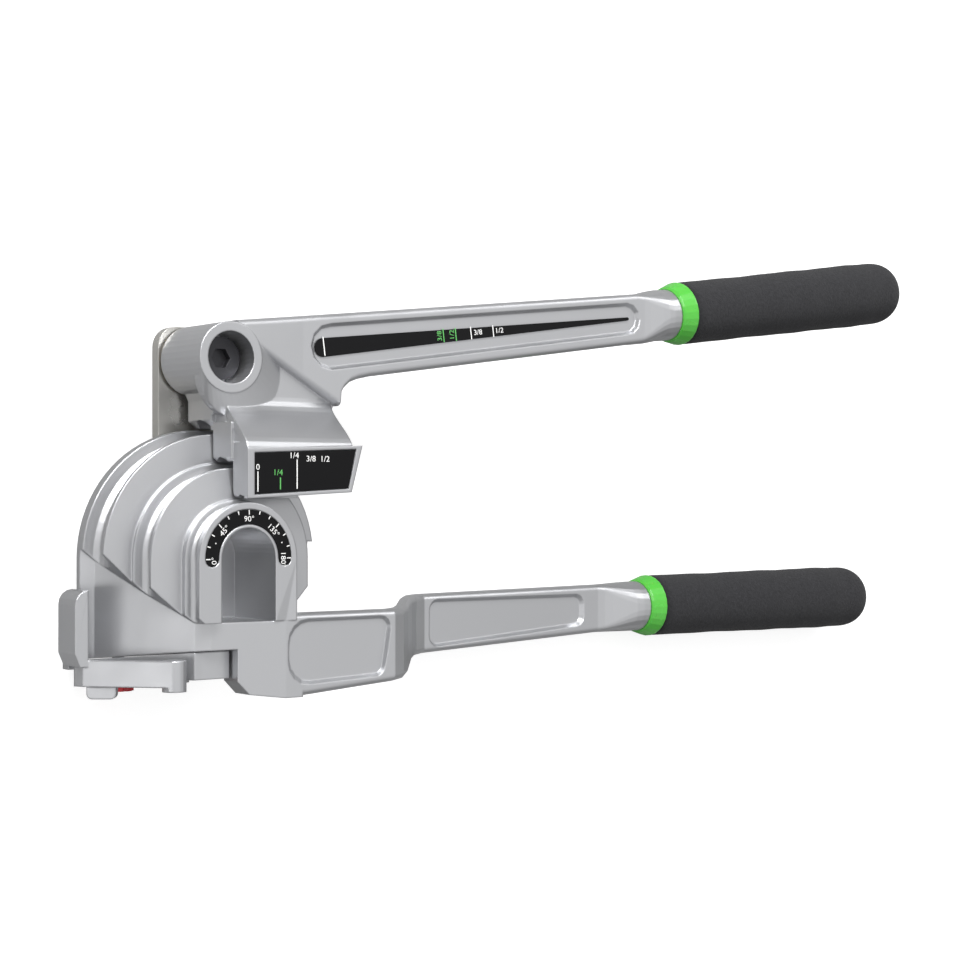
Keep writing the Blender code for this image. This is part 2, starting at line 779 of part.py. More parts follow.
def dial_outline(extra=0):
    """The arch that carries the degree scale, with round feet below its ends."""
    outer, inner = DIAL_OUTER + extra, DIAL_INNER - extra
    foot = (outer - inner) / 2
    middle = (outer + inner) / 2
    return (
        arc((0, 0), outer, 0, 180, DIAL_STEPS)
        + arc((-middle, 0), foot, 180, 360, 6)[1:-1]
        + arc((0, 0), inner, 180, 0, DIAL_STEPS)
        + arc((middle, 0), foot, 180, 360, 6)[1:-1]
    )


def screw_hole(name, x):
    """A hole up into the underside of the base for one of the hook's screws."""
    bottom = BASE_BOTTOM_AT_FACE - BASE_BOTTOM_SLOPE * SCREW_DEPTH
    return prism(
        name,
        circle((x, up(SCREW_DEPTH)), SCREW_RADIUS + SEAT, 12),
        bottom - OVERRUN,
        bottom + SCREW_REACH + SEAT,
        "Y",
    )


def build_die(finish):
    foot = BASE_BOTTOM_AT_FACE - BASE_BOTTOM_SLOPE * (DIE_DEPTH + OVERRUN)
    die = die_block(foot)
    hollow = prism(
        "hollow",
        arc((0, 0), HOLLOW_HALF_WIDTH, 0, 180, DIE_STEPS // 2)
        + [(-HOLLOW_HALF_WIDTH, LEG_END), (HOLLOW_HALF_WIDTH, LEG_END)],
        up(HOLLOW_DEPTH),
        up(-OVERRUN),
    )
    pivot_hole = disc(
        "pivot_hole", (0, 0), DIE_BOLT_THREAD + SEAT,
        up(DIE_DEPTH + OVERRUN), up(DIE_DEPTH - DIE_BOLT_REACH - SEAT),
    )
    dial_pocket = prism(
        "dial_pocket", dial_outline(LABEL_SIDE_GAP), up(LABEL_POCKET), up(-OVERRUN)
    )
    base_front, *base_sides = base_cutters(foot)
    cut(die, *base_sides)
    join(die, lug())
    cut(die, base_front)
    join(die, fixed_handle())
    cut(die, hollow, dial_pocket, pivot_hole, *handle_recesses())
    cut(die, screw_hole("knob_hole", KNOB_X), screw_hole("guide_hole", GUIDE_X))
    return dress(die, finish)


def arm_axis_y(x):
    """The middle of the lever's arm, where its strip scale runs."""
    share = (x - ARM_RECESS_LEFT_X) / (ARM_RECESS_RIGHT_X - ARM_RECESS_LEFT_X)
    return ARM_LINE_LEFT_Y + (ARM_LINE_RIGHT_Y - ARM_LINE_LEFT_Y) * share


def lever_arm():
    """The arm, which leans forward a little, and the round shank inside the grip."""
    end_front = LEVER_GRIP_DEPTH - ARM_THICKNESS / 2
    along = Vector((math.cos(LEVER_SLOPE), math.sin(LEVER_SLOPE)))
    rings = []
    for x, bottom in (*WEB_EDGE, (ARM_CORNER_X, None), (ARM_END_X, None)):
        share = (x - ARM_START_X) / (ARM_END_X - ARM_START_X)
        front = ARM_START_DEPTH - max(0, share) * (ARM_START_DEPTH - end_front)
        top = ARM_START_TOP_Y + share * (ARM_END_TOP_Y - ARM_START_TOP_Y)
        if bottom is None:
            bottom = ARM_START_BOTTOM_Y + share * (ARM_END_BOTTOM_Y - ARM_START_BOTTOM_Y)
        rings.append(squared_ring(x, top, bottom, front, front + ARM_THICKNESS, EDGE_RADIUS))
    arm_end = rings[-1]
    reach = RING_LENGTH + GRIP_LENGTH - GRIP_END_WALL - GRIP_DOME
    for distance, radius in (
        (-RING_LENGTH / 2, COLLAR_RADIUS),
        (0, COLLAR_RADIUS),
        (0, SHANK_RADIUS),
        (reach, SHANK_RADIUS),
    ):
        ring = []
        for a, b in circle((0, 0), radius, ROUND_STEPS):
            angle = math.atan2(b, a) + math.pi / ROUND_STEPS
            side, rise = radius * math.cos(angle), radius * math.sin(angle)
            x = LEVER_COLLAR_X + along.x * distance - along.y * side
            y = LEVER_COLLAR_Y + along.y * distance + along.x * side
            ring.append((x, y, up(LEVER_GRIP_DEPTH) + rise))
        if distance < 0:
            rings += blended(arm_end, ring)
        rings.append(ring)
    return loft("lever_arm", rings)


def neck():
    """The plate below the arm, set back from it, that carries the shoe."""
    outline = [
        (0, PIVOT_Y + BOSS_RADIUS / 2),
        (NECK_WAIST_X, PIVOT_Y),
        (NECK_RIGHT_X, NECK_RIGHT_Y),
        (NECK_WAIST_X + RECESS_DEPTH, (NECK_WAIST_Y + NECK_RIGHT_Y) / 2),
        (NECK_WAIST_X, NECK_WAIST_Y),
        (NECK_FOOT_X, (NECK_WAIST_Y + NECK_FOOT_Y) / 2),
        (NECK_FOOT_X, NECK_FOOT_Y),
        (SMALL_SHOE_LEFT_X, NECK_FOOT_Y),
        (SMALL_SHOE_LEFT_X, SHOE_WAIST_Y),
        (-BOSS_RADIUS / 2, PIVOT_Y - BOSS_RADIUS * BOSS_SIDE_SHARE),
    ]
    return prism("neck", outline, up(NECK_DEPTH + NECK_THICKNESS), up(NECK_DEPTH))


def skirt():
    """The cone that the boss spreads into as it meets the neck."""
    wide = circle((SKIRT_SHIFT_X, PIVOT_Y - SKIRT_SHIFT_Y), SKIRT_RADIUS, 36)
    narrow = circle((0, PIVOT_Y), BOSS_RADIUS - SEAT, 36)
    return loft(
        "skirt",
        [
            [(x, y, up(NECK_DEPTH + NECK_THICKNESS / 3)) for x, y in wide],
            [(x, y, up(NECK_DEPTH)) for x, y in wide],
            [(x, y, up(BOSS_FACE_DEPTH + SEAT)) for x, y in narrow],
        ],
    )


def fold_front():
    """The sweep from the top of the scale plate back to the neck's face, as (y, depth)."""
    bottom = PLATE_LEFT_TOP_Y - PLATE_RIM / 2
    points = []
    for i in range(FOLD_STEPS + 1):
        share = i / FOLD_STEPS
        points.append((bottom + (FOLD_TOP_Y - bottom) * share, NECK_DEPTH * eased(share)))
    return points


def fold():
    front = fold_front()
    back = [(y, depth + FOLD_THICKNESS) for y, depth in front]
    outline = [(y, up(depth)) for y, depth in front + back[::-1]]
    return prism("fold", outline, SMALL_SHOE_LEFT_X, NECK_FOOT_X, "X")


def cheek():
    """The wall that closes the left side of the fold."""
    front = fold_front()
    back = MIDDLE_STEP_DEPTH - 2 * SHOE_SIDE_GAP
    outline = front + [(front[-1][0], back), (front[0][0], back)]
    left = SMALL_SHOE_LEFT_X + SEAT
    return prism("cheek", [(y, up(depth)) for y, depth in outline], left, left + CHEEK_THICKNESS, "X")


def scale_plate():
    outline = [
        (SMALL_SHOE_LEFT_X, PLATE_LEFT_BOTTOM_Y),
        (PLATE_LEFT_X, PLATE_LEFT_BOTTOM_Y),
        (PLATE_RIGHT_BOTTOM_X, PLATE_RIGHT_BOTTOM_Y),
        (PLATE_RIGHT_TOP_X, PLATE_RIGHT_TOP_Y),
        (SMALL_SHOE_LEFT_X, PLATE_LEFT_TOP_Y),
    ]
    return prism("scale_plate", outline, up(PLATE_THICKNESS), up(0))


def shoe_block(name, left, bottom, front, back, top, corner):
    outline = [
        (left, top),
        (left, bottom + corner),
        (left + corner, bottom + SHOE_LIFT / 3),
        (left + 2 * corner, bottom),
        (SHOE_RIGHT_X, bottom),
        (SHOE_RIGHT_X, top),
    ]
    block = prism(name, outline, up(back), up(front))
    lean = SHOE_CHAMFER_DEPTH / SHOE_CHAMFER_RISE
    low = bottom - OVERRUN
    high = bottom + SHOE_CHAMFER_RISE + OVERRUN
    far = back + lean * OVERRUN
    chamfer = prism(
        name + "_chamfer",
        [(low, up(back - SHOE_CHAMFER_DEPTH - lean * OVERRUN)), (high, up(far)), (low, up(far))],
        left - OVERRUN,
        SHOE_RIGHT_X + OVERRUN,
        "X",
    )
    cut(block, chamfer)
    return block


def shoe_blocks():
    """The three steps of the shoe, from the front one to the one under the boss."""
    top = SHOE_WAIST_Y
    small = shoe_block(
        "small_shoe", SMALL_SHOE_LEFT_X, SMALL_BACK_LIP + SHOE_LIFT,
        PLATE_THICKNESS / 2, SMALL_STEP_DEPTH - SHOE_SIDE_GAP,
        PLATE_LEFT_TOP_Y + OVERRUN / 2, SHOE_CORNER / 3,
    )
    middle = shoe_block(
        "middle_shoe", MIDDLE_SHOE_LEFT_X, MIDDLE_BACK_LIP + SHOE_LIFT,
        SMALL_STEP_DEPTH - 2 * SHOE_SIDE_GAP, MIDDLE_STEP_DEPTH - SHOE_SIDE_GAP,
        NECK_FOOT_Y + OVERRUN / 2, SHOE_CORNER / 2,
    )
    large = shoe_block(
        "large_shoe", LARGE_SHOE_LEFT_X, LARGE_BACK_LIP + SHOE_LIFT,
        MIDDLE_STEP_DEPTH - 2 * SHOE_SIDE_GAP, SHOE_BACK_DEPTH, top, SHOE_CORNER,
    )
    back_web = prism(
        "back_web",
        [
            (LARGE_SHOE_LEFT_X, SHOE_WAIST_Y - OVERRUN),
            (LARGE_SHOE_LEFT_X, SHOE_WAIST_Y),
            (SHOE_ARMPIT_X, SHOE_ARMPIT_Y),
            (SHOE_SHOULDER_X, SHOE_SHOULDER_Y),
            (-BOSS_RADIUS * BOSS_EDGE_SHARE, PIVOT_Y - BOSS_RADIUS / 5),
            (BOSS_RADIUS, PIVOT_Y - BOSS_RADIUS / 3),
            (SHOE_RIGHT_X, SHOE_WAIST_Y - OVERRUN),
        ],
        up(SHOE_BACK_DEPTH),
        up(NECK_DEPTH + OVERRUN),
    )
    return small, middle, large, back_web


def shoe_grooves():
    """The straight grooves that close over the tubes."""
    made = []
    for name, bend, depth, tube in (
        ("small", SMALL_BEND, SMALL_DEPTH, SMALL_TUBE),
        ("middle", MIDDLE_BEND, MIDDLE_DEPTH, MIDDLE_TUBE),
        ("large", LARGE_BEND, LARGE_DEPTH, LARGE_TUBE),
    ):
        made.append(
            prism(
                name + "_groove",
                circle((bend, up(depth)), tube + GROOVE_CLEARANCE, 2 * GROOVE_STEPS),
                LARGE_SHOE_LEFT_X - OVERRUN,
                SHOE_RIGHT_X + OVERRUN,
                "X",
            )
        )
    return made


def strip_outline(extra=0):
    """The strip scale: round at the boss end and drawn out to a point."""
    half = ARM_RECESS_LEFT_HALF - STRIP_MARGIN + extra
    left = ARM_RECESS_LEFT_X - ARM_RECESS_LEFT_HALF + STRIP_END_GAP + half - extra
    right = ARM_RECESS_RIGHT_X + STRIP_TIP_MARGIN
    start = arc((left, arm_axis_y(left)), half, 90, 270, STRIP_STEPS)
    tip = arc((right, arm_axis_y(right)), STRIP_TIP_HALF + extra, -90, 90, 4)
    return start + tip


def lean_on_arm(obj):
    """Turns a piece drawn about the arm's start so that it lies in the arm's leaning face."""
    obj.location = (ARM_START_X, 0, up(ARM_START_DEPTH))
    obj.rotation_euler = (0, -ARM_LEAN, 0)
    return obj


def on_arm(outline):
    """An outline in X and Y, moved so that its X starts at the arm's start."""
    return [((x - ARM_START_X) / math.cos(ARM_LEAN), y) for x, y in outline]


def arm_recesses():
    """The long recesses on the front and the back of the lever's arm."""
    floor, mouth = (
        on_arm(
            slot_outline(
                ARM_RECESS_LEFT_X, ARM_RECESS_RIGHT_X,
                ARM_RECESS_LEFT_HALF + extra, ARM_RECESS_RIGHT_HALF + extra,
                arm_axis_y(ARM_RECESS_LEFT_X), arm_axis_y(ARM_RECESS_RIGHT_X),
            )
        )
        for extra in (0, 2 * RECESS_FLARE)
    )
    front = lean_on_arm(tray("front_recess", floor, mouth, -RECESS_DEPTH, RECESS_DEPTH))
    back_face = -ARM_THICKNESS
    back = lean_on_arm(
        tray("back_recess", floor, mouth, back_face + RECESS_DEPTH, back_face - RECESS_DEPTH)
    )
    return front, back


def build_lever(finish):
    boss = disc(
        "lever_casting", (0, PIVOT_Y), BOSS_RADIUS, up(BOSS_BACK_DEPTH), up(BOSS_FACE_DEPTH), 36
    )
    join(boss, lever_arm(), neck(), skirt(), *shoe_blocks(), fold(), cheek(), scale_plate())
    counterbore = disc(
        "counterbore", (0, PIVOT_Y), COUNTERBORE_RADIUS,
        up(BOSS_FACE_DEPTH + COUNTERBORE_DEPTH), up(-OVERRUN), 32,
    )
    bore = disc(
        "lever_bore", (0, PIVOT_Y), LEVER_BOLT_RADIUS + BUSH_WALL + 2 * RUN,
        up(DIE_DEPTH + OVERRUN), up(BOSS_FACE_DEPTH),
    )
    pocket = plate_label_outline(LABEL_SIDE_GAP)
    label_pocket = prism("plate_pocket", pocket, up(LABEL_POCKET), up(-OVERRUN))
    cut(boss, counterbore, bore, *arm_recesses(), *shoe_grooves(), label_pocket)
    return dress(boss, finish)


def plate_label_outline(extra=0):
    """The black field of the plate, inside a bright rim."""
    rim = PLATE_RIM - extra
    return [
        (PLATE_LEFT_X + rim, PLATE_LEFT_BOTTOM_Y + rim),
        (PLATE_RIGHT_BOTTOM_X - rim, PLATE_RIGHT_BOTTOM_Y + rim),
        (PLATE_RIGHT_TOP_X - 2 * rim, PLATE_RIGHT_TOP_Y - rim),
        (PLATE_LEFT_X + rim, PLATE_LEFT_TOP_Y - rim),
    ]


def build_labels(finish):
    low, high = up(LABEL_POCKET - SEAT), up(LABEL_POCKET - SEAT - LABEL_THICKNESS)
    dial = prism("degree_scale", dial_outline(), low, high)
    plate = prism("plate_scale", plate_label_outline(), low, high)
    strip = lean_on_arm(
        prism(
            "arm_scale", on_arm(strip_outline()), SEAT - RECESS_DEPTH,
            SEAT - RECESS_DEPTH + LABEL_THICKNESS,
        )
    )
    for label in (dial, plate, strip):
        dress(label, finish)
    return dial, plate, strip


def build_link(finish):
    """The flat steel link from the die's centre to the lever's pivot."""
    top = PIVOT_Y + LINK_TOP_EXTRA
    end_corner = LINK_HALF_WIDTH * LINK_END_SHARE
    outline = rounded(
        [
            (-LINK_HALF_WIDTH, -LINK_HALF_WIDTH),
            (LINK_HALF_WIDTH, -LINK_HALF_WIDTH),
            (LINK_HALF_WIDTH, top),
            (-LINK_HALF_WIDTH, top),
        ],
        [end_corner, end_corner, LINK_CORNER, LINK_CORNER],
        8,
    )
    link = prism("link_plate", outline, up(LINK_BACK), up(LINK_FRONT))
    die_end = disc(
        "link_die_hole", (0, 0), DIE_BOLT_SHOULDER + BUSH_WALL + 2 * RUN,
        up(LINK_BACK + OVERRUN), up(LINK_FRONT - OVERRUN),
    )
    lever_end = disc(
        "link_lever_hole", (0, PIVOT_Y), LEVER_BOLT_RADIUS + RUN,
        up(LINK_BACK + OVERRUN), up(LINK_FRONT - OVERRUN),
    )
    cut(link, die_end, lever_end)
    return dress(link, finish)


def sleeve(name, centre, inner, outer, low, high, finish, steps=BOLT_STEPS):
    """A plain ring: a washer or a bush."""
    ring = disc(name, centre, outer, low, high, steps)
    cut(ring, disc(name + "_hole", centre, inner, low - OVERRUN, high + OVERRUN, steps))
    return dress(ring, finish)


def build_die_pivot(steel, bronze):
    """A shoulder bolt from behind, screwed into the die, with a bush in the link."""
    bolt = disc(
        "die_pivot_bolt", (0, 0), DIE_BOLT_SHOULDER, up(HEAD_FRONT + HEAD_HEIGHT / 2), up(DIE_DEPTH + SEAT)
    )
    head = disc("die_bolt_head", (0, 0), DIE_BOLT_HEAD_RADIUS, 0, up(HEAD_FRONT), 6)
    thread = disc(
        "die_bolt_thread", (0, 0), DIE_BOLT_THREAD,
        up(HEAD_FRONT), up(DIE_DEPTH - DIE_BOLT_REACH),
    )
    join(bolt, head, thread)
    dress(bolt, steel)
    inner = DIE_BOLT_SHOULDER + RUN
    sleeve(
        "die_pivot_bush", (0, 0), inner, DIE_BOLT_SHOULDER + BUSH_WALL + RUN,
        up(LINK_BACK - RUN), up(LINK_FRONT + RUN), bronze,
    )
    sleeve(
        "die_thrust_washer", (0, 0), inner, THRUST_WASHER_RADIUS,
        up(LINK_FRONT - SEAT), up(DIE_DEPTH + SEAT), bronze,
    )
    return bolt


def build_lever_pivot(black_steel, steel, bronze):
    """A socket head bolt down the counterbore, held by a nut behind the link."""
    centre = (0, PIVOT_Y)
    floor = BOSS_FACE_DEPTH + COUNTERBORE_DEPTH
    under_head = floor - WASHER_THICKNESS - 2 * SEAT
    head_top = under_head - LEVER_BOLT_HEAD_HEIGHT
    bolt = disc(
        "lever_pivot_bolt", centre, LEVER_BOLT_HEAD_RADIUS, up(under_head), up(head_top)
    )
    shank = disc(
        "lever_bolt_shank", centre, LEVER_BOLT_RADIUS,
        up(FACE_HEIGHT - SEAT), up(under_head - LEVER_BOLT_HEAD_HEIGHT / 2),
    )
    socket = disc(
        "lever_bolt_socket", centre, LEVER_BOLT_SOCKET_RADIUS,
        up(head_top + LEVER_BOLT_SOCKET_DEPTH), up(head_top - OVERRUN), 6,
    )
    join(bolt, shank)
    cut(bolt, socket)
    dress(bolt, black_steel)
    inner = LEVER_BOLT_RADIUS + RUN
    sleeve(
        "lever_bolt_washer", centre, inner, WASHER_RADIUS, up(floor - SEAT),
        up(under_head + SEAT), steel,
    )
    sleeve(
        "lever_pivot_bush", centre, inner, LEVER_BOLT_RADIUS + BUSH_WALL + RUN,
        up(BOSS_BACK_DEPTH - RUN), up(floor + RUN), bronze,
    )
    sleeve(
        "lever_thrust_washer", centre, inner, THRUST_WASHER_RADIUS,
        up(LINK_FRONT - SEAT), up(BOSS_BACK_DEPTH + SEAT), bronze,
    )
    nut = disc("lever_pivot_nut", centre, LEVER_NUT_RADIUS, 0, up(HEAD_FRONT), 6)
    cut(nut, disc("nut_hole", centre, inner, -OVERRUN, up(LINK_BACK - OVERRUN)))
    dress(nut, steel)
    return bolt


def slide_plan():
    """The hook's slide under the base, as (x, depth): along the base's wall, then round its back."""
    wall = [(x, depth + RUN) for x, depth in sweep_line()[2:-1]]
    corner = wall[0]
    bar_start = wall[-1][0] + HOOK_WEB_HEIGHT
    return (
        [(corner[0], SLIDE_BACK_DEPTH)]
        + wall
        + [
            (bar_start, SLIDE_BAR_DEPTH),
            (SLIDE_RIGHT_X, SLIDE_BAR_DEPTH),
            (SLIDE_RIGHT_X, SLIDE_TAIL_DEPTH),
            (SLIDE_TAIL_X, SLIDE_TAIL_DEPTH),
            (SLIDE_TAIL_X, SLIDE_BACK_DEPTH),
        ]
    )


def gate_line():
    """The outer face of the gate arm, from the jaw to the post, as (x, depth)."""
    post = Vector((GATE_POST_X, SMALL_DEPTH))
    left = Vector((GATE_LEFT_X, GATE_LEFT_DEPTH))
    along = (post - left).normalized()
    outward = Vector((along.y, -along.x)) if along.y < 0 else Vector((-along.y, along.x))
    if outward.x > 0:
        outward = -outward
    return left, post + outward * GATE_POST_RADIUS, along, -outward


def level_top(depth):
    """The slide's upper face, which follows the slanted underside of the base."""
    return SLIDE_TOP_AT_FACE - BASE_BOTTOM_SLOPE * depth


def hook_slide():
    bottom = level_top(SMALL_DEPTH) - HOOK_HEIGHT
    plan = slide_plan()
    return loft(
        "hook",
        [
            [(x, bottom, up(depth)) for x, depth in plan],
            [(x, level_top(depth), up(depth)) for x, depth in plan],
        ],
    )


def hook_jaw():
    """The upright jaw that holds the largest tube, and the web that ties it to the slide."""
    jaw = prism(
        "jaw",
        rounded(
            [
                (JAW_INNER_X, JAW_TOP_Y),
                (JAW_INNER_X, JAW_BOTTOM_Y),
                (GATE_LEFT_X - RECESS_RIM / 2, JAW_BOTTOM_Y),
                (JAW_OUTER_X, JAW_SIDE_Y),
                (JAW_OUTER_X, JAW_TOP_Y),
            ],
            [0, 0, 0, JAW_CORNER / 3, JAW_CORNER],
        ),
        up(JAW_BACK_DEPTH),
        up(JAW_FRONT_DEPTH),
    )
    web_top = level_top(SLIDE_BACK_DEPTH)
    front = LARGE_DEPTH + LARGE_TUBE + 4 * GROOVE_CLEARANCE
    web = prism(
        "hook_web",
        [
            (web_top, up(SLIDE_BACK_DEPTH)),
            (web_top, up(front)),
            (web_top - HOOK_WEB_HEIGHT, up(front)),
            (web_top - HOOK_WEB_HEIGHT, up(SLIDE_BACK_DEPTH)),
        ],
        GATE_LEFT_X,
        sweep_line()[2][0] + OVERRUN,
        "X",
    )
    return jaw, web


def hook_gate():
    """The arm in front of the tubes, its round post at the smallest tube, and the finger pull."""
    left, right, along, inward = gate_line()
    plan = [left, right, right + inward * GATE_THICKNESS, left + inward * GATE_THICKNESS]
    plan.append(Vector((JAW_INNER_X - RECESS_RIM / 2, JAW_FRONT_DEPTH + OVERRUN)))
    plan.append(Vector((GATE_LEFT_X - RECESS_RIM / 2, JAW_FRONT_DEPTH + OVERRUN)))
    arm = prism("gate_arm", [(p.x, up(p.y)) for p in plan], GATE_BOTTOM_Y, GATE_TOP_Y, "Y")
    post = prism(
        "gate_post",
        circle((GATE_POST_X, up(SMALL_DEPTH)), GATE_POST_RADIUS, 20),
        GATE_POST_BOTTOM_Y,
        GATE_TOP_Y,
        "Y",
    )
    length = (right - left).length
    near = length * FINGER_NEAR_SHARE
    far = length * FINGER_FAR_SHARE
    top = (GATE_TOP_Y + GATE_BOTTOM_Y) / 2
    outline = rounded(
        [(far, top), (near, top), (near, FINGER_BOTTOM_Y), (far, FINGER_BOTTOM_Y)],
        [0, 0, FINGER_CORNER, FINGER_CORNER],
    )
    rings = []
    for inset in (0, GATE_THICKNESS):
        start = left + inward * inset
        rings.append(
            [(start.x + along.x * a, y, up(start.y + along.y * a)) for a, y in outline]
        )
    finger = loft("finger_pull", rings)
    return arm, post, finger


def hook_slot(name, x):
    """The slot that a screw stands in while the hook slides."""
    radius = SCREW_RADIUS + RUN
    depth = SCREW_DEPTH
    bottom = level_top(SMALL_DEPTH) - HOOK_HEIGHT
    outline = arc((x, up(depth)), radius, 90, 270, 6)
    outline += arc((x + HOOK_TRAVEL, up(depth)), radius, -90, 90, 6)
    return prism(name, outline, bottom - OVERRUN, level_top(depth) + OVERRUN, "Y")


def build_hook(finish):
    hook = hook_slide()
    join(hook, *hook_jaw(), *hook_gate())
    cut(hook, hook_slot("knob_slot", KNOB_X), hook_slot("guide_slot", GUIDE_X))
    return dress(hook, finish)


def build_hook_screws(red, steel):
    """The red knob that locks the hook, and the plain screw that guides its other end."""
    slide_bottom = level_top(SMALL_DEPTH) - HOOK_HEIGHT
    thread_top = BASE_BOTTOM_AT_FACE - BASE_BOTTOM_SLOPE * SCREW_DEPTH + SCREW_REACH
    washer_top = slide_bottom - RUN
    washer_bottom = washer_top - SPRING_WASHER_THICKNESS
    head_top = washer_bottom - SEAT
    for name, x, radius, height in (
        ("hook_lock_screw", KNOB_X, GUIDE_HEAD_RADIUS, GUIDE_HEAD_HEIGHT),
        ("hook_guide_screw", GUIDE_X, GUIDE_HEAD_RADIUS, GUIDE_HEAD_HEIGHT),
    ):
        centre = (x, up(SCREW_DEPTH))
        screw = prism(name, circle(centre, SCREW_RADIUS, 16), head_top - height / 2, thread_top, "Y")
        head = prism(
            name + "_head", circle(centre, radius, 20), head_top - height, head_top, "Y"
        )
        join(screw, head)
        dress(screw, steel)
    for name, x in (("lock_washer", KNOB_X), ("guide_washer", GUIDE_X)):
        centre = (x, up(SCREW_DEPTH))
        washer = prism(
            name, circle(centre, SPRING_WASHER_RADIUS, 20), washer_bottom, washer_top, "Y"
        )
        hole = prism(
            name + "_hole", circle(centre, SCREW_RADIUS + RUN, 20),
            washer_bottom - OVERRUN, washer_top + OVERRUN, "Y",
        )
        cut(washer, hole)
        dress(washer, steel)
    centre = (KNOB_X, up(SCREW_DEPTH))
    knob_bottom = head_top - KNOB_HEIGHT
    knob = prism("hook_lock_knob", circle(centre, KNOB_RADIUS, 48), knob_bottom, head_top - SEAT, "Y")
    seat = prism(
        "knob_seat", circle(centre, GUIDE_HEAD_RADIUS + SEAT, 20),
        head_top - GUIDE_HEAD_HEIGHT - SEAT, head_top + OVERRUN, "Y",
    )
    cut(knob, seat)
    for i in range(KNOB_FLUTES):
        angle = 2 * math.pi * i / KNOB_FLUTES
        place = (
            centre[0] + (KNOB_RADIUS + KNOB_FLUTE_RADIUS / 3) * math.cos(angle),
            centre[1] + (KNOB_RADIUS + KNOB_FLUTE_RADIUS / 3) * math.sin(angle),
        )
        flute = prism(
            f"knob_flute_{i}", circle(place, KNOB_FLUTE_RADIUS, 10),
            knob_bottom - OVERRUN, head_top + OVERRUN, "Y",
        )
        cut(knob, flute)
    dress(knob, red)


def grip_profile():
    """The foam grip from its open end to its dome, then back along its bore."""
    bore = SHANK_RADIUS + SEAT
    lip = GRIP_NEAR_RADIUS - SHANK_RADIUS
    dome = []
    for i in range(7):
        angle = math.radians(90 * i / 6)
        dome.append(
            (
                GRIP_LENGTH - GRIP_DOME + GRIP_DOME * math.sin(angle),
                GRIP_RADIUS * (1 - GRIP_DOME_SHARE * (1 - math.cos(angle))) if i < 6 else 0,
            )
        )
    dome[-1] = (GRIP_LENGTH, 0)
    return (
        [(GRIP_LENGTH - GRIP_END_WALL - GRIP_DOME + SEAT, 0)]
        + [(GRIP_LENGTH - GRIP_END_WALL - GRIP_DOME + SEAT, bore), (0, bore)]
        + [(0, GRIP_NEAR_RADIUS - lip / 4), (lip / 4, GRIP_NEAR_RADIUS)]
        + [(GRIP_LENGTH / 2, GRIP_RADIUS - lip / 12)]
        + dome
    )


def ring_profile():
    bore = SHANK_RADIUS + SEAT
    edge = (RING_LARGE_RADIUS - RING_SMALL_RADIUS) / 2
    return [
        (0, bore),
        (0, RING_SMALL_RADIUS - edge),
        (edge, RING_SMALL_RADIUS),
        (RING_LENGTH - 2 * edge, RING_LARGE_RADIUS),
        (RING_LENGTH - edge, RING_LARGE_RADIUS),
        (RING_LENGTH, RING_LARGE_RADIUS - edge),
        (RING_LENGTH, bore),
    ]


def build_grip(prefix, x, y, depth, slope, foam, green):
    """A green collar and the foam grip behind it, on one of the handles."""
    along = Vector((math.cos(slope), math.sin(slope), 0))
    start = Vector((x, y, up(depth)))
    ring = turned(prefix + "_collar", ring_profile())
    ring.location = start + along * SEAT
    grip = turned(prefix + "_grip", grip_profile())
    grip.location = start + along * (RING_LENGTH + 2 * SEAT)
    for piece in (ring, grip):
        piece.rotation_euler = (0, 0, slope)
    dress(ring, green)
    dress(grip, foam)


def main():
    clear_scene()
    casting = material("cast aluminium", (0.56, 0.56, 0.58), 0.38, 0.85)
    plate_steel = material("link steel", (0.60, 0.59, 0.57), 0.35, 1.0)
    steel = material("plated steel", (0.55, 0.55, 0.56), 0.30, 1.0)
    black_steel = material("black steel", (0.05, 0.05, 0.055), 0.35, 0.8)
    bronze = material("bearing bronze", (0.55, 0.38, 0.18), 0.40, 1.0)
    foam = material("black foam", (0.025, 0.025, 0.028), 0.85, 0.0)
    green = material("green plastic", (0.08, 0.52, 0.08), 0.30, 0.0)
    red = material("red plastic", (0.45, 0.02, 0.03), 0.35, 0.0)
    label = material("black label", (0.012, 0.012, 0.014), 0.40, 0.0)
    build_die(casting)
    build_lever(casting)
    build_link(plate_steel)
    build_die_pivot(steel, bronze)
    build_lever_pivot(black_steel, steel, bronze)
    build_hook(casting)
    build_hook_screws(red, steel)
    build_labels(label)
    build_grip("lower", FIXED_COLLAR_X, FIXED_AXIS_Y, FIXED_GRIP_DEPTH, 0, foam, green)
    build_grip("upper", LEVER_COLLAR_X, LEVER_COLLAR_Y, LEVER_GRIP_DEPTH, LEVER_SLOPE, foam, green)


main()
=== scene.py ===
# %% [markdown]
# # A lever tube bender on a white bench
#
# The bender is two silver castings and a steel link. It lies on its back, so its scale face looks up.
# The tube goes into one of three stepped grooves round the half-round die. The hook at the left holds
# its tail, and the lever's shoe wraps it round the die as the link swings about the die's centre.
#
# The model itself is loaded first. Each step after that adds surface, printing, foam or light.

# %% Load the model
import math

import bmesh
import bpy
from mathutils import Matrix, Vector


